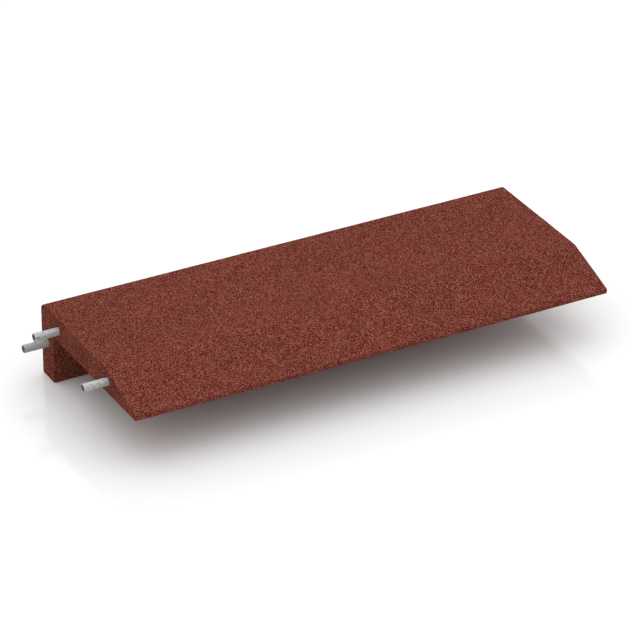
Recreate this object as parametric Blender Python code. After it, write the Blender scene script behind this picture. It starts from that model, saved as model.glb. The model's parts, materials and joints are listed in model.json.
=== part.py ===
"""Threshold ramp with plug-in connecting tubes.

A rubber-granulate moulding with an L-shaped cross-section: a slab that bevels down to a toe
at the front, and a leg that hangs down at the back. Three steel tubes plug into sockets in
the left end and reach into the next ramp of the row, whose right end has the same sockets.

X runs along the ramp, +Y towards the back of the leg and +Z up. The origin is the centre of
the leg's foot. Lengths are in metres.
"""

import math

import bmesh
import bpy
from mathutils import Matrix

# The moulding
LENGTH = 1.000
DEPTH = 0.400  # back face to toe
HEIGHT = 0.150  # foot to tread
LEG_THICKNESS = 0.050
SLAB_THICKNESS = 0.050
TREAD_DEPTH = 0.280  # level top, from the back face to the bevel
TOE_THICKNESS = 0.010  # blunt edge left at the end of the bevel
NOSE_RADIUS = 0.014  # rounding between the tread and the back face
NOSE_STEPS = 8

# The tubes
TUBE_RADIUS = 0.008
TUBE_WALL = 0.0015
TUBE_LENGTH = 0.100
TUBE_PLUGGED = 0.050  # length inside the moulding
RIM_CHAMFER = 0.0003
BACK_TUBE_INSET = 0.075  # from the back face to the tube's axis
FRONT_TUBE_INSET = 0.285
ROUND_STEPS = 64
SHARP_ANGLE = math.radians(30)  # edges sharper than this aren't shaded smooth

# The sockets: a running gap around each tube and at its blind end
SOCKET_GAP = 0.0003
CUTTER_OVERSHOOT = 0.010  # how far a cutter stands out of the end face

# Places that the sizes above lead to
BACK_Y = LEG_THICKNESS / 2
LEG_FRONT_Y = -LEG_THICKNESS / 2
TOE_Y = BACK_Y - DEPTH
BEVEL_Y = BACK_Y - TREAD_DEPTH
UNDERSIDE_Z = HEIGHT - SLAB_THICKNESS
SLAB_MIDDLE_Z = HEIGHT - SLAB_THICKNESS / 2
END_X = LENGTH / 2

# Axis of each tube and of its sockets, as (y, z)
TUBE_AXES = {
    "back": (BACK_Y - BACK_TUBE_INSET, SLAB_MIDDLE_Z),
    "leg": (0.0, HEIGHT / 2),
    "front": (BACK_Y - FRONT_TUBE_INSET, SLAB_MIDDLE_Z),
}

# Colour, roughness and metallic value of each material
RUBBER = ((0.180, 0.050, 0.036, 1.0), 0.92, 0.0)
STEEL = ((0.520, 0.525, 0.520, 1.0), 0.45, 0.85)


def clear_scene():
    """Remove every object that the open file holds."""
    for item in list(bpy.data.objects):
        bpy.data.objects.remove(item, do_unlink=True)


def make_material(name, colour, roughness, metallic):
    """A Principled material with one colour."""
    material = bpy.data.materials.new(name)
    material.use_nodes = True
    surface = material.node_tree.nodes["Principled BSDF"]
    surface.inputs["Base Color"].default_value = colour
    surface.inputs["Roughness"].default_value = roughness
    surface.inputs["Metallic"].default_value = metallic
    material.diffuse_color = colour
    return material


def add_object(name, bm, location, material=None):
    """Turn a bmesh into an object at its place, with its faces pointing out."""
    bmesh.ops.recalc_face_normals(bm, faces=bm.faces)
    mesh = bpy.data.meshes.new(name)
    bm.to_mesh(mesh)
    bm.free()
    if material:
        mesh.materials.append(material)
    item = bpy.data.objects.new(name, mesh)
    item.location = location
    bpy.context.scene.collection.objects.link(item)
    return item


def section_outline():
    """The moulding's cross-section, as (y, z) points in order around it."""
    outline = [
        (BACK_Y, 0.0),
        (LEG_FRONT_Y, 0.0),
        (LEG_FRONT_Y, UNDERSIDE_Z),
        (TOE_Y, UNDERSIDE_Z),
        (TOE_Y, UNDERSIDE_Z + TOE_THICKNESS),
        (BEVEL_Y, HEIGHT),
    ]
    centre_y = BACK_Y - NOSE_RADIUS
    centre_z = HEIGHT - NOSE_RADIUS
    for step in range(NOSE_STEPS + 1):
        angle = math.radians(90) * (1 - step / NOSE_STEPS)
        outline.append((centre_y + NOSE_RADIUS * math.cos(angle), centre_z + NOSE_RADIUS * math.sin(angle)))
    return outline


def add_socket_cutter(name, end_sign, axis):
    """A cylinder that cuts one blind socket into the left (-1) or right (+1) end."""
    depth = TUBE_PLUGGED + SOCKET_GAP
    length = depth + CUTTER_OVERSHOOT
    bm = bmesh.new()
    bmesh.ops.create_cone(
        bm,
        cap_ends=True,
        segments=ROUND_STEPS,
        radius1=TUBE_RADIUS + SOCKET_GAP,
        radius2=TUBE_RADIUS + SOCKET_GAP,
        depth=length,
        matrix=Matrix.Rotation(math.radians(90), 4, "Y"),
    )
    middle_x = end_sign * (END_X - depth + length / 2)
    cutter = add_object(name, bm, (middle_x, axis[0], axis[1]))
    cutter.hide_render = True
    cutter.display_type = "WIRE"
    return cutter


def add_ramp_body(material):
    """The moulding, with three sockets in each end."""
    bm = bmesh.new()
    corners = [bm.verts.new((-END_X, y, z)) for y, z in section_outline()]
    end_face = bm.faces.new(corners)
    swept = bmesh.ops.extrude_face_region(bm, geom=[end_face], use_keep_orig=True)
    moved = [part for part in swept["geom"] if isinstance(part, bmesh.types.BMVert)]
    bmesh.ops.translate(bm, verts=moved, vec=(LENGTH, 0.0, 0.0))
    body = add_object("ramp_body", bm, (0.0, 0.0, 0.0), material)
    for place, axis in TUBE_AXES.items():
        for side, end_sign in (("left", -1), ("right", 1)):
            cut = body.modifiers.new(f"{side}_{place}_socket", "BOOLEAN")
            cut.operation = "DIFFERENCE"
            cut.solver = "EXACT"
            cut.object = add_socket_cutter(f"cutter_{side}_{place}", end_sign, axis)
    return body


def add_connecting_tube(place, material):
    """A tube with chamfered rims, turned about its own axis, half of it in the left end."""
    inner = TUBE_RADIUS - TUBE_WALL
    end = TUBE_LENGTH / 2
    profile = [
        (-end, inner + RIM_CHAMFER),
        (-end, TUBE_RADIUS - RIM_CHAMFER),
        (-end + RIM_CHAMFER, TUBE_RADIUS),
        (end - RIM_CHAMFER, TUBE_RADIUS),
        (end, TUBE_RADIUS - RIM_CHAMFER),
        (end, inner + RIM_CHAMFER),
        (end - RIM_CHAMFER, inner),
        (-end + RIM_CHAMFER, inner),
    ]
    bm = bmesh.new()
    ring = [bm.verts.new((x, 0.0, radius)) for x, radius in profile]
    edges = [bm.edges.new((ring[i - 1], ring[i])) for i in range(len(ring))]
    bmesh.ops.spin(
        bm,
        geom=ring + edges,
        cent=(0.0, 0.0, 0.0),
        axis=(1.0, 0.0, 0.0),
        angle=math.radians(360),
        steps=ROUND_STEPS,
        use_merge=True,
    )
    middle_x = -END_X + TUBE_PLUGGED - TUBE_LENGTH / 2
    y, z = TUBE_AXES[place]
    tube = add_object(f"connecting_tube_{place}", bm, (middle_x, y, z), material)
    tube.data.shade_smooth()
    tube.data.set_sharp_from_angle(angle=SHARP_ANGLE)
    return tube


clear_scene()
rubber = make_material("red_rubber_granulate", *RUBBER)
add_ramp_body(rubber)
for tube_place in TUBE_AXES:
    steel = make_material(f"galvanised_steel_{tube_place}", *STEEL)
    add_connecting_tube(tube_place, steel)
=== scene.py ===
"""Looks for the threshold ramp: a rubber-granulate moulding with three steel connecting tubes.

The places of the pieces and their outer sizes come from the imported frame. Details that the frame
doesn't state, such as the toe, the nose and the wall of a tube, are named below. Lengths are in metres.
"""

import json
import math

import bmesh
import bpy
import numpy as np
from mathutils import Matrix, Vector
from mathutils.geometry import delaunay_2d_cdt


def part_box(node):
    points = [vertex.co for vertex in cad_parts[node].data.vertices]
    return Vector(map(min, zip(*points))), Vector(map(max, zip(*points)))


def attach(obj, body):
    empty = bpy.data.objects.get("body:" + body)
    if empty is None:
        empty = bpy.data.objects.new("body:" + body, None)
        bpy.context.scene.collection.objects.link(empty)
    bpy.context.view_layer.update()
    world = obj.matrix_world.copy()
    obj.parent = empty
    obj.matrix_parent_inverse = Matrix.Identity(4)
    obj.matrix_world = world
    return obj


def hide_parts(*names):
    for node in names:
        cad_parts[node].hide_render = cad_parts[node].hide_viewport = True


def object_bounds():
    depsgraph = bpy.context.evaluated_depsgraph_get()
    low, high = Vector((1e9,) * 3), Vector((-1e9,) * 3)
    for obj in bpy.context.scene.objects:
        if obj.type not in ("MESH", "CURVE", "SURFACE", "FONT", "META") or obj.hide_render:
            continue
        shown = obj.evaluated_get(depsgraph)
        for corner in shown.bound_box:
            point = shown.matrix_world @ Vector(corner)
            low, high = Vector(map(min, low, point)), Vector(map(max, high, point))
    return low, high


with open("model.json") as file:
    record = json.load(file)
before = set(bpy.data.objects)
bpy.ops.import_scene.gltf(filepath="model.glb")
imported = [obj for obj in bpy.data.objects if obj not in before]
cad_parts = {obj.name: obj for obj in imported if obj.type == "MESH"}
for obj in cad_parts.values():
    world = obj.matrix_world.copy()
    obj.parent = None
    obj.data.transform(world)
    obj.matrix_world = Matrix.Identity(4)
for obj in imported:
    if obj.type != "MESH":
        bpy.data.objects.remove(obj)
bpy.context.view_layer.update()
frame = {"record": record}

SEED = 7
QUARTER_TURN = math.radians(90)

# The moulding, from its CAD node and the mounts on its faces
MOUNTS = {mount["name"]: Vector(mount["pos_m"]) for mount in frame["record"]["mounts"]}
BODY_LOW, BODY_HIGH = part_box("ramp_body")
LEG_FRONT_Y = MOUNTS["leg_front_face"].y
UNDERSIDE_Z = MOUNTS["slab_underside"].z
TOE_THICKNESS = 0.010
TREAD_DEPTH = 0.280
NOSE_RADIUS = 0.014
EDGE_RADIUS = 0.0018  # soft corners that a granulate moulding comes out with
END_RADIUS = 0.0014  # the same, around the two end faces
BREAK_RADIUS = 0.006  # where the tread turns into the bevel
EDGE_STEP = 0.0008  # mesh spacing around the corners
END_STEPS = 4
PLACED = 1e-7  # two points closer than this are the same one
INNER_TRIANGLES = 1  # the triangulation's output: only what lies inside the outline
STRAIGHT = 0.9999  # cosine of the turn that still counts as a straight stretch

# Mesh of the moulding. It gives the coarse unevenness, and the material gives the granules.
SPACING = 0.0034
UNDER_SPACING = 0.0045  # on the foot, the leg's front and the slab's underside
VERTEX_SHIFT = 0.22  # how far a vertex strays sideways, as a share of its spacing
ROW_STAGGER = 0.25  # how far odd and even rows move apart, each way, as a share of their spacing
RELIEF = 0.00032  # how far a vertex strays in or out
END_RELIEF = END_RADIUS * QUARTER_TURN / END_STEPS / SPACING  # share of the relief, where rings lie close
CALM_COLUMNS = 3  # the mesh turns from straight at an end to fully shifted over this many columns
EDGE_ROOM = 0.7  # how near the end face's inner points come to its edge, as a share of the spacing
MOUTH_ROOM = 0.5  # the same, to a socket's mouth
WAVE_HEIGHT = 0.00010
WAVE_LENGTH = 0.090

# Waves that make up a gentle swell
WAVE_COUNT = 5
WAVE_STRETCH = (0.7, 1.6)  # each wave's length, as a share of the stated one
WAVE_OVERLAP = 2  # the waves' sum is divided by this, to be about as high as stated

# Sockets
SOCKET_GAP = 0.0003
SOCKET_DEPTH = 0.0503
SOCKET_MOUTH = 0.0011  # rounding at the mouth
MOUTH_STEPS = 4
SOCKET_STEPS = 28
SOCKET_END_RINGS = (1.0, 0.67, 0.33)  # rings of the blind end, as shares of its radius
SOCKET_RELIEF = -0.3  # share of the relief; below zero, it only goes into the wall and leaves the bore free

# Tubes
TUBE_NODES = ("connecting_tube_back", "connecting_tube_leg", "connecting_tube_front")
TUBE_WALL = 0.0015
TUBE_STEPS = 96
TUBE_RING = 0.0016
RIM_RADIUS = 0.00035
RIM_STEPS = 4
DENT_LENGTH = 0.009
DENT_HEIGHT = 0.00003
PITTING = 0.000008
TUBE_SLACK = 0.00004  # draws the whole surface in, so that it hardly stands proud between dents

# The camera looks down on the left end and the bevel
CAMERA_AIM = Vector((-0.0291, -0.1839, 0.1000))
CAMERA_AZIMUTH = math.radians(-28.371)
CAMERA_ELEVATION = math.radians(29.435)
CAMERA_DISTANCE = 7.682
CAMERA_LENS = 232.73

# Rubber: granules from dark and saturated to pale and chalky, with painted shade in the crevices between
# them and painted light and shade on each granule's dome
GRANULES = 900.0  # to the metre
GRANULE_COLOURS = (
    (0.00, (0.030, 0.001, 0.001, 1.0)),
    (0.22, (0.109, 0.008, 0.004, 1.0)),
    (0.50, (0.259, 0.050, 0.029, 1.0)),
    (0.78, (0.390, 0.119, 0.082, 1.0)),
    (1.00, (0.582, 0.251, 0.197, 1.0)),
)
RAGGED = {"scale": 900.0, "reach": 0.0007}  # noise that a granule's outline wanders by
DOME_REACH = 0.8  # of a cell, from a granule's crown to the foot of its flank
# painted light and shade: each granule drawn darker on its flank and lighter on its crown, as top light
# would show it
PAINTED_DOME_SHADING = (0.85, 1.12)  # on the flank and on the crown
DOME_HEIGHT = (0.5, 1.0)  # of the lowest and of the highest granule
CREVICE_REACH = 0.17  # of a cell
# painted shade: brightness inside the crevices between granules, where shade would fall
PAINTED_CREVICE_SHADE = 0.25
GRIT = {"scale": 2600.0, "detail": 3.0, "roughness": 0.7}
GRIT_SHADE = (0.75, 1.25)
GRIT_HEIGHT = 0.25
PATCH_SCALE = 9.0
PATCH_NOISE = (0.35, 0.65)
PATCH_SHADE = (0.97, 1.03)
RUBBER_ROUGHNESS = (0.96, 0.80)  # of a dark and of a pale granule
RUBBER_SPECULAR = 0.005
RUBBER_BUMP = {"Distance": 0.0007, "Strength": 0.9}

# Steel: dull galvanising, scuffed along the tube, with painted shade in the bore and a painted highlight on
# the cut rims
# the leg tube's lower brightness is painted shade from the back tube above it
STEEL_TONES_WITH_PAINTED_SHADE = (0.47, 0.41, 0.47)  # brightness of each of TUBE_NODES
STEEL_TINT = (0.99, 1.0, 0.985, 1.0)
MOTTLE = {"scale": 260.0, "detail": 3.0, "roughness": 0.6}
MOTTLE_SHADE = (0.90, 1.10)
SPANGLES = 700.0  # to the metre
SPANGLE_SHADE = (0.95, 1.05)
SCUFF = {"scale": 340.0, "detail": 3.0, "roughness": 0.7}
SCUFF_STRETCH = (0.35, 1.0, 1.0)
SCUFF_NOISE = (0.56, 0.63)  # a scuff fades in between these
SCUFF_SHADE = 0.30
SCUFF_DEPTH = 0.5
# painted shade: brightness of the colour deep inside a tube's bore
PAINTED_BORE_SHADE = 0.55
BORE_EDGE = 0.6  # of the wall, from its outer side in, where the bore's shade begins
# painted highlight: brightness added to the colour along both cut ends of a tube
PAINTED_RIM_HIGHLIGHT = 0.05
PAINTED_RIM_HIGHLIGHT_REACH = (0.0004, 0.0012)  # from the cut end
STEEL_METALLIC = (0.35, 0.15)  # clean and scuffed
STEEL_ROUGHNESS = (0.50, 0.68)
STEEL_BUMP = {"Distance": 0.00015, "Strength": 0.8}
PATTERN_STEP = (0.37, 0.21, 0.11)  # moves the pattern on from one tube to the next
USUAL_NOISE = (0.3, 0.7)  # most of a noise texture's values lie between these
NOISE_MIDDLE = (0.5, 0.5, 0.5)

# Studio
SKY_LEVEL = 0.38  # brightness at the horizon
SKY_GRADIENT = (0.13, -0.05, 1.30)  # how much is added to the right, to the back and overhead
BACKDROP_LIFT = 0.26  # added to the sky that the camera sees, to match the floor's far edge
FLOOR_RADIUS = 60.0
FLOOR_SEGMENTS = 96
FLOOR_COLOUR = (0.90, 0.90, 0.90, 1.0)
FLOOR_ROUGHNESS = 0.12

random = np.random.default_rng(SEED)
bodies = frame["record"]["behaviour"]["bodies"]
body_of = {node: body for body, nodes in bodies.items() for node in nodes}


# ---------------------------------------------------------------- mesh helpers


class Surface:
    """Vertices and faces gathered from several patches of one closed mesh."""

    def __init__(self):
        self.vertices = []
        self.faces = []
        self.relief = []

    def add(self, points, relief=1.0):
        """Add points, with their share of the relief, and return their indices."""
        start = len(self.vertices)
        self.vertices.extend(tuple(point) for point in points)
        self.relief.extend(np.broadcast_to(relief, len(points)))
        return list(range(start, len(self.vertices)))

    def bridge(self, ring, next_ring):
        """Join two closed rings of the same length with triangles."""
        count = len(ring)
        for i in range(count):
            after = (i + 1) % count
            self.faces.append((ring[i], ring[after], next_ring[after]))
            self.faces.append((ring[i], next_ring[after], next_ring[i]))

    def build(self, name, material):
        """Make the object, with its faces pointing out."""
        bm = bmesh.new()
        corners = [bm.verts.new(point) for point in self.vertices]
        for face in self.faces:
            bm.faces.new([corners[i] for i in face])
        bmesh.ops.recalc_face_normals(bm, faces=bm.faces)
        mesh = bpy.data.meshes.new(name)
        bm.to_mesh(mesh)
        bm.free()
        mesh.materials.append(material)
        mesh.shade_smooth()
        item = bpy.data.objects.new(name, mesh)
        bpy.context.scene.collection.objects.link(item)
        return item


def read_vectors(collection, attribute):
    """A mesh collection's vectors as an array with three columns."""
    values = np.empty(len(collection) * 3, np.float32)
    collection.foreach_get(attribute, values)
    return values.reshape(-1, 3).astype(float)


def displace(item, heights):
    """Move each vertex along its normal by its own height."""
    mesh = item.data
    places = read_vectors(mesh.vertices, "co")
    normals = read_vectors(mesh.vertex_normals, "vector")
    places += normals * heights[:, None]
    mesh.vertices.foreach_set("co", places.astype(np.float32).ravel())
    mesh.update()


def waves(places, length, height):
    """Smooth heights that repeat in no visible way: a few sine waves in different directions."""
    total = np.zeros(len(places))
    for _ in range(WAVE_COUNT):
        direction = random.normal(size=3)
        direction /= np.linalg.norm(direction)
        phase = random.uniform(0, 2 * math.pi)
        stretch = random.uniform(*WAVE_STRETCH)
        total += np.sin(places @ direction * 2 * math.pi / (length * stretch) + phase)
    return total * height / WAVE_OVERLAP


# ---------------------------------------------------------------- the moulding


def rounded_corner(before, corner, after, radius, spacing):
    """Points along the arc that rounds a corner between two straight sides."""
    to_before = (before - corner).normalized()
    to_after = (after - corner).normalized()
    half = to_before.angle(to_after) / 2
    turn = math.pi - 2 * half
    centre = corner + (to_before + to_after).normalized() * radius / math.sin(half)
    first = corner + to_before * radius / math.tan(half) - centre
    last = corner + to_after * radius / math.tan(half) - centre
    steps = max(2, round(radius * turn / spacing))
    points = []
    for step in range(steps + 1):
        share = step / steps
        arm = first * math.sin((1 - share) * turn) + last * math.sin(share * turn)
        points.append(centre + arm / math.sin(turn))
    return points


def body_outline():
    """The cross-section as (y, z) points at the mesh's spacing, with every corner rounded."""
    back_y = BODY_HIGH.y
    toe_y = BODY_LOW.y
    top_z = BODY_HIGH.z
    # y, z and radius of each corner, then the spacing on its arc and on the straight after it
    corners = [
        (back_y, 0.0, EDGE_RADIUS, EDGE_STEP, UNDER_SPACING),
        (LEG_FRONT_Y, 0.0, EDGE_RADIUS, EDGE_STEP, UNDER_SPACING),
        (LEG_FRONT_Y, UNDERSIDE_Z, EDGE_RADIUS, EDGE_STEP, UNDER_SPACING),
        (toe_y, UNDERSIDE_Z, EDGE_RADIUS, EDGE_STEP, SPACING),
        (toe_y, UNDERSIDE_Z + TOE_THICKNESS, EDGE_RADIUS, EDGE_STEP, SPACING),
        (back_y - TREAD_DEPTH, top_z, BREAK_RADIUS, EDGE_STEP, SPACING),
        (back_y, top_z, NOSE_RADIUS, SPACING / 2, SPACING),
    ]
    spots = [Vector((y, z)) for y, z, *_ in corners]
    arcs = []
    for i, (_, _, radius, arc_spacing, _) in enumerate(corners):
        next_spot = spots[(i + 1) % len(spots)]
        arcs.append(rounded_corner(spots[i - 1], spots[i], next_spot, radius, arc_spacing))
    outline = []
    for i, (*_, straight_spacing) in enumerate(corners):
        start = arcs[i][-1]
        end = arcs[(i + 1) % len(arcs)][0]
        steps = max(1, round((end - start).length / straight_spacing))
        outline.extend(arcs[i])
        outline.extend(start.lerp(end, step / steps) for step in range(1, steps))
    if len(outline) % 2:  # rows are staggered in pairs
        outline.append((outline[-1] + outline[0]) / 2)
    return np.array([tuple(point) for point in outline])


def outline_directions(outline):
    """Unit tangents, and unit normals that point out of the outline."""
    along = np.roll(outline, -1, axis=0) - np.roll(outline, 1, axis=0)
    along /= np.linalg.norm(along, axis=1)[:, None]
    after = np.roll(outline, -1, axis=0)
    area = np.sum(outline[:, 0] * after[:, 1] - after[:, 0] * outline[:, 1])
    normals = np.column_stack((along[:, 1], -along[:, 0])) * np.sign(area)
    return along, normals


def outline_room(outline):
    """Each point's distance to its nearer neighbour."""
    ahead = np.linalg.norm(np.roll(outline, -1, axis=0) - outline, axis=1)
    return np.minimum(ahead, np.roll(ahead, 1))


def sweep_outline(surface, outline):
    """The long faces: a staggered triangle mesh. Returns the first and the last ring."""
    along, normals = outline_directions(outline)
    room = outline_room(outline)
    turning = np.sum(np.roll(normals, 1, axis=0) * np.roll(normals, -1, axis=0), axis=1)
    free = np.where(turning > STRAIGHT, room * VERTEX_SHIFT, 0.0)
    length = BODY_HIGH.x - BODY_LOW.x - 2 * END_RADIUS
    columns = round(length / SPACING)
    step = length / columns
    row_shift = np.where(np.arange(len(outline)) % 2, ROW_STAGGER, -ROW_STAGGER) * step
    rings = []
    for column in range(columns + 1):
        inner = min(1.0, min(column, columns - column) / CALM_COLUMNS)
        x = BODY_LOW.x + END_RADIUS + step * column
        sideways = random.uniform(-1, 1, len(outline)) * free * inner
        lengthways = row_shift * inner + random.uniform(-1, 1, len(outline)) * step * VERTEX_SHIFT * inner
        places = outline + along * sideways[:, None]
        relief = np.minimum(room / SPACING, max(inner, END_RELIEF))
        rings.append(surface.add(np.column_stack((x + lengthways, places)), relief))
    count = len(outline)
    for ring, next_ring in zip(rings, rings[1:]):
        for i in range(count):
            after = (i + 1) % count
            if i % 2:
                surface.faces.append((ring[i], ring[after], next_ring[after]))
                surface.faces.append((ring[i], next_ring[after], next_ring[i]))
            else:
                surface.faces.append((ring[i], ring[after], next_ring[i]))
                surface.faces.append((ring[after], next_ring[after], next_ring[i]))
    return rings[0], rings[-1]


def inside(outline, points):
    """Which points lie inside a closed outline, by counting crossings."""
    after = np.roll(outline, -1, axis=0)
    result = np.zeros(len(points), bool)
    for (y0, z0), (y1, z1) in zip(outline, after):
        if z0 == z1:
            continue
        crosses = (z0 > points[:, 1]) != (z1 > points[:, 1])
        result ^= crosses & (points[:, 0] < (y1 - y0) * (points[:, 1] - z0) / (z1 - z0) + y0)
    return result


def cap_points(outline, centres, mouth_radius):
    """A staggered, shifted grid inside the outline, clear of its edge and of the socket mouths."""
    low = outline.min(axis=0)
    high = outline.max(axis=0)
    row_height = SPACING * math.sqrt(3) / 2
    points = []
    for row in range(int((high[1] - low[1]) / row_height) + 1):
        start = low[0] + (row % 2) * SPACING / 2
        across = np.arange(start, high[0], SPACING)
        points.append(np.column_stack((across, np.full(len(across), low[1] + row * row_height))))
    points = np.concatenate(points)
    points += random.uniform(-1, 1, points.shape) * SPACING * VERTEX_SHIFT
    keep = inside(outline, points)
    for spot in outline:
        keep &= np.linalg.norm(points - spot, axis=1) > SPACING * EDGE_ROOM
    for centre in centres:
        keep &= np.linalg.norm(points - centre, axis=1) > mouth_radius + SPACING * MOUTH_ROOM
    return points[keep]


def socket_circle(centre, radius):
    """Points of a circle around a socket's axis, as (y, z)."""
    angles = np.arange(SOCKET_STEPS) * 2 * math.pi / SOCKET_STEPS
    return centre + radius * np.column_stack((np.cos(angles), np.sin(angles)))


def at_x(x, places):
    """(y, z) places as points that share one x."""
    return np.column_stack((np.full(len(places), x), places))


def socket_stations(radius):
    """(depth, radius) of each ring of a socket, from its rounded mouth to the middle of its blind end."""
    stations = []
    for step in range(1, MOUTH_STEPS + 1):
        turn = QUARTER_TURN * step / MOUTH_STEPS
        flare = SOCKET_MOUTH * (1 - math.sin(turn))
        stations.append((SOCKET_MOUTH * (1 - math.cos(turn)), radius + flare))
    wall = SOCKET_DEPTH - 2 * SOCKET_MOUTH
    wall_steps = round(wall / SPACING)
    for step in range(1, wall_steps + 1):
        stations.append((SOCKET_MOUTH + wall * step / wall_steps, radius))
    for share in SOCKET_END_RINGS:
        stations.append((SOCKET_DEPTH, (radius - SOCKET_MOUTH) * share))
    return stations


def add_socket(surface, mouth_ring, centre, radius, end_x, inward):
    """The wall and the blind end of one socket, from its mouth on the end face inwards."""
    ring = mouth_ring
    for depth, ring_radius in socket_stations(radius):
        circle = socket_circle(centre, ring_radius)
        next_ring = surface.add(at_x(end_x + inward * depth, circle), SOCKET_RELIEF)
        surface.bridge(ring, next_ring)
        ring = next_ring
    (middle,) = surface.add(at_x(end_x + inward * SOCKET_DEPTH, centre[None, :]), SOCKET_RELIEF)
    for i in range(SOCKET_STEPS):
        surface.faces.append((ring[i], ring[(i + 1) % SOCKET_STEPS], middle))


def add_rim(surface, outline, first_ring, end_x, inward):
    """Round the edge between the long faces and an end. Returns its last ring and that ring's places."""
    _, normals = outline_directions(outline)
    ring = first_ring
    for step in range(1, END_STEPS + 1):
        turn = QUARTER_TURN * step / END_STEPS
        places = outline - normals * END_RADIUS * (1 - math.cos(turn))
        depth = END_RADIUS * (1 - math.sin(turn))
        relief = np.minimum(outline_room(places) / SPACING, END_RELIEF)
        next_ring = surface.add(at_x(end_x + inward * depth, places), relief)
        surface.bridge(ring, next_ring)
        ring = next_ring
    return ring, places


def add_end(surface, outline, first_ring, end_x, inward, axes, radius):
    """Close one end: a rounded rim, the flat face and the sockets."""
    rim, rim_places = add_rim(surface, outline, first_ring, end_x, inward)
    mouth_radius = radius + SOCKET_MOUTH
    filling = cap_points(rim_places, axes, mouth_radius)
    circles = [socket_circle(centre, mouth_radius) for centre in axes]
    mouths = [surface.add(at_x(end_x, circle), SOCKET_RELIEF) for circle in circles]
    indices = rim + sum(mouths, []) + surface.add(at_x(end_x, filling))
    spots = [Vector(spot) for spot in np.concatenate([rim_places, *circles, filling])]
    edges = []
    start = 0
    for loop in (rim, *mouths):
        edges += [(start + i, start + (i + 1) % len(loop)) for i in range(len(loop))]
        start += len(loop)
    found, _, triangles, origins, _, _ = delaunay_2d_cdt(spots, edges, [], INNER_TRIANGLES, PLACED)
    for triangle in triangles:
        middle = np.mean([found[i] for i in triangle], axis=0)
        if all(np.linalg.norm(middle - centre) > mouth_radius for centre in axes):
            surface.faces.append(tuple(indices[origins[i][0]] for i in triangle))
    for mouth, centre in zip(mouths, axes):
        add_socket(surface, mouth, centre, radius, end_x, inward)


def make_body(material):
    """The moulding as one closed mesh, slightly uneven all over."""
    tube_boxes = [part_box(node) for node in TUBE_NODES]
    axes = [np.array(((low.y + high.y) / 2, (low.z + high.z) / 2)) for low, high in tube_boxes]
    low, high = tube_boxes[0]
    radius = (high.z - low.z) / 2 + SOCKET_GAP
    surface = Surface()
    outline = body_outline()
    first, last = sweep_outline(surface, outline)
    add_end(surface, outline, first, BODY_LOW.x, 1, axes, radius)
    add_end(surface, outline, last, BODY_HIGH.x, -1, axes, radius)
    body = surface.build("granulate_moulding", material)
    places = np.array(surface.vertices)
    share = np.array(surface.relief)
    bumps = random.uniform(-1, 1, len(places)) * RELIEF
    swell = waves(places, WAVE_LENGTH, WAVE_HEIGHT)
    displace(body, np.where(share > 0, bumps * share + swell, np.abs(bumps) * share))
    return body


# ---------------------------------------------------------------- the tubes


def tube_profile(low_x, high_x, inner, outer):
    """Closed (x, radius) profile of the tube's wall, with rounded rims."""
    centres = (
        (low_x + RIM_RADIUS, outer - RIM_RADIUS, 180, 90),
        (high_x - RIM_RADIUS, outer - RIM_RADIUS, 90, 0),
        (high_x - RIM_RADIUS, inner + RIM_RADIUS, 0, -90),
        (low_x + RIM_RADIUS, inner + RIM_RADIUS, -90, -180),
    )
    profile = []
    for i, (x, radius, start, end) in enumerate(centres):
        for step in range(RIM_STEPS + 1):
            angle = math.radians(start + (end - start) * step / RIM_STEPS)
            profile.append((x + RIM_RADIUS * math.cos(angle), radius + RIM_RADIUS * math.sin(angle)))
        next_x = centres[(i + 1) % len(centres)][0]
        steps = round(abs(next_x - x) / TUBE_RING)
        radius_here = profile[-1][1]
        profile.extend((x + (next_x - x) * step / steps, radius_here) for step in range(1, steps))
    return profile


def make_tube(node, material):
    """One steel tube, turned about its own axis, with the slight dents of a cut galvanised tube."""
    low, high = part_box(node)
    outer = (high.z - low.z) / 2
    centre_y = (low.y + high.y) / 2
    centre_z = (low.z + high.z) / 2
    profile = tube_profile(low.x, high.x, outer - TUBE_WALL, outer)
    surface = Surface()
    rings = []
    for step in range(TUBE_STEPS):
        angle = 2 * math.pi * step / TUBE_STEPS
        arm = Vector((0.0, math.cos(angle), math.sin(angle)))
        rings.append(surface.add([Vector((x, centre_y, centre_z)) + arm * radius for x, radius in profile]))
    for i, ring in enumerate(rings):
        surface.bridge(ring, rings[(i + 1) % TUBE_STEPS])
    tube = surface.build(node + "_steel", material)
    places = np.array(surface.vertices)
    dents = waves(places, DENT_LENGTH, DENT_HEIGHT)
    pits = random.uniform(-1, 1, len(places)) * PITTING
    displace(tube, dents + pits - TUBE_SLACK)
    return tube


# ---------------------------------------------------------------- materials


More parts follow.
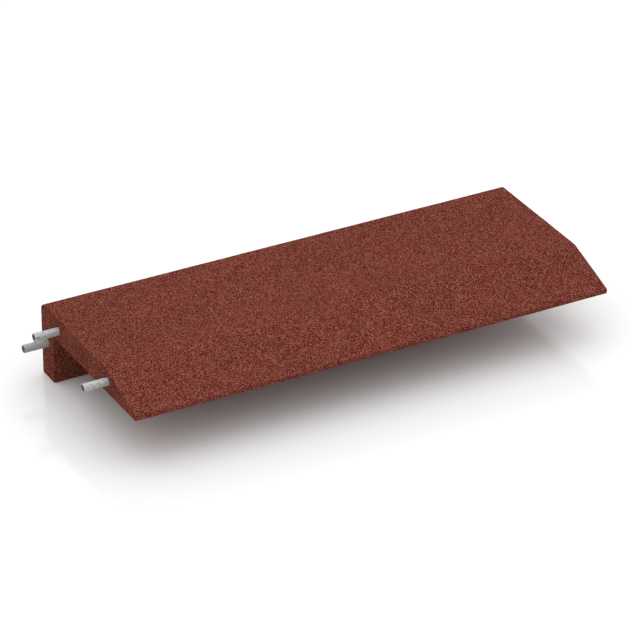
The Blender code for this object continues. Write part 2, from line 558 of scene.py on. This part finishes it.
class Shader:
    """A node material that is written as a list of calls."""

    def __init__(self, name):
        self.material = bpy.data.materials.new(name)
        self.material.use_nodes = True
        self.tree = self.material.node_tree
        self.surface = self.tree.nodes["Principled BSDF"]
        self.place = self.add("ShaderNodeTexCoord").outputs["Object"]

    def add(self, kind, inputs=None, **settings):
        """Add a node, with its settings and with its inputs linked or set."""
        node = self.tree.nodes.new(kind)
        for name, value in settings.items():
            setattr(node, name, value)
        for name, value in (inputs or {}).items():
            self.join(node, name, value)
        return node

    def join(self, node, name, value):
        """Link a socket to an input, or set the input's value."""
        if isinstance(value, bpy.types.NodeSocket):
            self.tree.links.new(value, node.inputs[name])
        else:
            node.inputs[name].default_value = value

    def math(self, operation, first, second=0.0, third=0.0):
        """One arithmetic node."""
        return self.add("ShaderNodeMath", {0: first, 1: second, 2: third}, operation=operation).outputs[0]

    def noise(self, place, scale, detail=2.0, roughness=0.5):
        """Noise from 0 to 1."""
        inputs = {"Vector": place, "Scale": scale, "Detail": detail, "Roughness": roughness}
        return self.add("ShaderNodeTexNoise", inputs).outputs["Fac"]

    def voronoi(self, place, scale, feature="F1"):
        """Cells of a mean size of one over the scale."""
        inputs = {"Vector": place, "Scale": scale, "Randomness": 1.0}
        return self.add("ShaderNodeTexVoronoi", inputs, feature=feature)

    def remap(self, value, start, end, smooth=False):
        """Map one (low, high) range to another, clamped."""
        inputs = {"Value": value, "From Min": start[0], "From Max": start[1]}
        inputs.update({"To Min": end[0], "To Max": end[1]})
        kind = "SMOOTHSTEP" if smooth else "LINEAR"
        return self.add("ShaderNodeMapRange", inputs, interpolation_type=kind).outputs["Result"]

    def vector(self, operation, first, second=(0.0, 0.0, 0.0), third=(0.0, 0.0, 0.0)):
        """One vector arithmetic node."""
        inputs = {0: first, 1: second, 2: third}
        return self.add("ShaderNodeVectorMath", inputs, operation=operation).outputs[0]

    def split(self, colour):
        """A colour's channels, for use as independent random numbers."""
        return self.add("ShaderNodeSeparateColor", {"Color": colour}).outputs

    def grey(self, value):
        """A value as a colour."""
        return self.add("ShaderNodeCombineColor", {"Red": value, "Green": value, "Blue": value}).outputs[0]

    def tint(self, first, second):
        """The product of two colours."""
        node = self.add("ShaderNodeMix", data_type="RGBA", blend_type="MULTIPLY")
        node.inputs["Factor"].default_value = 1.0
        # The node has an A, a B and a result for each data type, under the same names
        colour_inputs = [socket for socket in node.inputs if socket.type == "RGBA"]
        for socket, value in zip(colour_inputs, (first, second)):
            if isinstance(value, bpy.types.NodeSocket):
                self.tree.links.new(value, socket)
            else:
                socket.default_value = value
        return next(socket for socket in node.outputs if socket.type == "RGBA")

    def shift(self, place, scale, reach):
        """Wander from a place by smooth noise."""
        inputs = {"Vector": place, "Scale": scale, "Detail": 1.0}
        noise = self.add("ShaderNodeTexNoise", inputs).outputs["Color"]
        centred = self.vector("SUBTRACT", noise, NOISE_MIDDLE)
        return self.vector("MULTIPLY_ADD", centred, (reach, reach, reach), place)

    def finish(self, colour, roughness, height, bump):
        """Link the surface's colour, roughness and bump, and return the material."""
        self.join(self.surface, "Base Color", colour)
        self.join(self.surface, "Roughness", roughness)
        normal = self.add("ShaderNodeBump", {"Height": height, **bump}).outputs["Normal"]
        self.join(self.surface, "Normal", normal)
        return self.material


def granule_colour(shader, tone):
    """The colour of a granule, by its own random tone from 0 to 1."""
    ramp = shader.add("ShaderNodeValToRGB", {"Fac": tone})
    stops = ramp.color_ramp.elements
    stops.remove(stops[1])
    stops[0].position, stops[0].color = GRANULE_COLOURS[0]
    for position, colour in GRANULE_COLOURS[1:]:
        stops.new(position).color = colour
    return ramp.outputs["Color"]


def rubber_material():
    """Bonded rubber granulate: every granule has its own colour, crown, crevice and grit. The crevices
    carry painted shade, each granule's flank carries painted shade and its crown a painted highlight.
    """
    shader = Shader("red_rubber_granulate")
    place = shader.shift(shader.place, **RAGGED)
    cells = shader.voronoi(place, GRANULES)
    edges = shader.voronoi(place, GRANULES, "DISTANCE_TO_EDGE").outputs["Distance"]
    chance = shader.split(cells.outputs["Color"])
    tone = chance["Red"]
    dome = shader.remap(cells.outputs["Distance"], (0.0, DOME_REACH), (1.0, 0.0), smooth=True)
    # painted shade darkening the colour towards each crevice; the same mask also sinks the crevices in the
    # bump
    crevice_depth_and_painted_shade = shader.remap(edges, (0.0, CREVICE_REACH), (PAINTED_CREVICE_SHADE, 1.0), smooth=True)
    grit = shader.noise(shader.place, **GRIT)
    patches = shader.noise(shader.place, PATCH_SCALE)
    # painted shade in the crevices and painted light and shade on each granule's dome go into the colour
    # here
    shade = shader.math("MULTIPLY", crevice_depth_and_painted_shade, shader.remap(dome, (0.0, 1.0), PAINTED_DOME_SHADING))
    shade = shader.math("MULTIPLY", shade, shader.remap(grit, USUAL_NOISE, GRIT_SHADE))
    shade = shader.math("MULTIPLY", shade, shader.remap(patches, PATCH_NOISE, PATCH_SHADE))
    colour = shader.tint(granule_colour(shader, tone), shader.grey(shade))
    shader.join(shader.surface, "Specular IOR Level", RUBBER_SPECULAR)
    height = shader.math("MULTIPLY", dome, shader.remap(chance["Green"], (0.0, 1.0), DOME_HEIGHT))
    height = shader.math("MULTIPLY", height, crevice_depth_and_painted_shade)
    height = shader.math("MULTIPLY_ADD", grit, GRIT_HEIGHT, height)
    roughness = shader.remap(tone, (0.0, 1.0), RUBBER_ROUGHNESS)
    return shader.finish(colour, roughness, height, RUBBER_BUMP)


def painted_bore_shade(shader, low, high):
    """Painted shade: darker inside the bore than on the outer skin, by the distance from the tube's axis.
    """
    axis = (0.0, (low.y + high.y) / 2, (low.z + high.z) / 2)
    across = shader.vector("MULTIPLY", shader.vector("SUBTRACT", shader.place, axis), (0.0, 1.0, 1.0))
    radius = shader.add("ShaderNodeVectorMath", {0: across}, operation="LENGTH").outputs["Value"]
    outer = (high.z - low.z) / 2
    skin = (outer - TUBE_WALL, outer - TUBE_WALL * BORE_EDGE)
    return shader.remap(radius, skin, (PAINTED_BORE_SHADE, 1.0), smooth=True)


def painted_rim_highlight(shader, low, high):
    """Painted highlight: extra brightness at the two cut ends."""
    x = shader.add("ShaderNodeSeparateXYZ", {"Vector": shader.place}).outputs["X"]
    near, far = PAINTED_RIM_HIGHLIGHT_REACH
    at_low = shader.remap(x, (low.x + near, low.x + far), (PAINTED_RIM_HIGHLIGHT, 0.0))
    at_high = shader.remap(x, (high.x - far, high.x - near), (0.0, PAINTED_RIM_HIGHLIGHT))
    return shader.math("ADD", at_low, at_high)


def steel_material(node, number):
    """Dull galvanised steel: zinc mottle and spangle, dark scuffs, painted shade in the bore and a painted
    highlight on the cut rims.
    """
    low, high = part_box(node)
    # this tone holds painted shade on the leg tube
    tone = STEEL_TONES_WITH_PAINTED_SHADE[number]
    shader = Shader("galvanised_" + node)
    offset = [step * (number + 1) for step in PATTERN_STEP]
    place = shader.vector("ADD", shader.place, offset)
    mottle = shader.noise(place, **MOTTLE)
    spangle = shader.split(shader.voronoi(place, SPANGLES).outputs["Color"])["Green"]
    scuff = shader.noise(shader.vector("MULTIPLY", place, SCUFF_STRETCH), **SCUFF)
    scuff = shader.remap(scuff, SCUFF_NOISE, (0.0, 1.0), smooth=True)
    shade = shader.remap(mottle, USUAL_NOISE, MOTTLE_SHADE)
    shade = shader.math("MULTIPLY", shade, shader.remap(spangle, (0.0, 1.0), SPANGLE_SHADE))
    shade = shader.math("MULTIPLY", shade, shader.remap(scuff, (0.0, 1.0), (tone, tone * SCUFF_SHADE)))
    # painted shade inside the bore
    shade = shader.math("MULTIPLY", shade, painted_bore_shade(shader, low, high))
    # painted highlight at the cut rims
    shade = shader.math("ADD", shade, painted_rim_highlight(shader, low, high))
    shader.join(shader.surface, "Metallic", shader.remap(scuff, (0.0, 1.0), STEEL_METALLIC))
    height = shader.math("SUBTRACT", mottle, shader.math("MULTIPLY", scuff, SCUFF_DEPTH))
    roughness = shader.remap(mottle, USUAL_NOISE, STEEL_ROUGHNESS)
    return shader.finish(shader.tint(shader.grey(shade), STEEL_TINT), roughness, height, STEEL_BUMP)


# ---------------------------------------------------------------- stage


def make_floor():
    """A wide white floor that just touches the leg's foot, with a faint sheen."""
    shader = Shader("studio_floor")
    shader.join(shader.surface, "Base Color", FLOOR_COLOUR)
    shader.join(shader.surface, "Roughness", FLOOR_ROUGHNESS)
    bm = bmesh.new()
    bmesh.ops.create_circle(bm, cap_ends=True, segments=FLOOR_SEGMENTS, radius=FLOOR_RADIUS)
    mesh = bpy.data.meshes.new("floor")
    bm.to_mesh(mesh)
    bm.free()
    mesh.materials.append(shader.material)
    floor = bpy.data.objects.new("floor", mesh)
    floor.location.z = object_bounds()[0][2]
    bpy.context.scene.collection.objects.link(floor)


def make_light():
    """Soft white light from all round, strongest overhead and leaning a little right and forward.

    The camera itself sees a brighter sky, so that the floor's far edge doesn't show.
    """
    world = bpy.data.worlds.new("studio")
    world.use_nodes = True
    tree = world.node_tree
    background = tree.nodes["Background"]
    background.inputs["Color"].default_value = (1.0, 1.0, 1.0, 1.0)
    place = tree.nodes.new("ShaderNodeTexCoord")
    lean = tree.nodes.new("ShaderNodeVectorMath")
    lean.operation = "DOT_PRODUCT"
    lean.inputs[1].default_value = SKY_GRADIENT
    strength = tree.nodes.new("ShaderNodeMath")
    strength.operation = "ADD"
    strength.inputs[1].default_value = SKY_LEVEL
    tree.links.new(place.outputs["Generated"], lean.inputs[0])
    tree.links.new(lean.outputs["Value"], strength.inputs[0])
    seen = tree.nodes.new("ShaderNodeLightPath")
    shown = tree.nodes.new("ShaderNodeMath")
    shown.operation = "MULTIPLY_ADD"
    shown.inputs[1].default_value = BACKDROP_LIFT
    tree.links.new(seen.outputs["Is Camera Ray"], shown.inputs[0])
    tree.links.new(strength.outputs[0], shown.inputs[2])
    tree.links.new(shown.outputs[0], background.inputs["Strength"])
    bpy.context.scene.world = world
    bpy.context.scene.view_settings.view_transform = "Standard"


def make_camera():
    """A long lens from the front left, above the ramp."""
    camera = bpy.data.objects.new("camera", bpy.data.cameras.new("camera"))
    camera.data.lens = CAMERA_LENS
    level = math.cos(CAMERA_ELEVATION)
    back_x = math.sin(CAMERA_AZIMUTH) * level
    back_y = -math.cos(CAMERA_AZIMUTH) * level
    back = Vector((back_x, back_y, math.sin(CAMERA_ELEVATION)))
    camera.location = CAMERA_AIM + back * CAMERA_DISTANCE
    camera.rotation_euler = back.to_track_quat("Z", "Y").to_euler()
    bpy.context.scene.collection.objects.link(camera)
    bpy.context.scene.camera = camera


# ---------------------------------------------------------------- the scene

body = make_body(rubber_material())
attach(body, body_of["ramp_body"])
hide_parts("ramp_body")

for number, node in enumerate(TUBE_NODES):
    tube = make_tube(node, steel_material(node, number))
    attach(tube, body_of[node])
    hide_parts(node)

make_floor()
make_light()
make_camera()

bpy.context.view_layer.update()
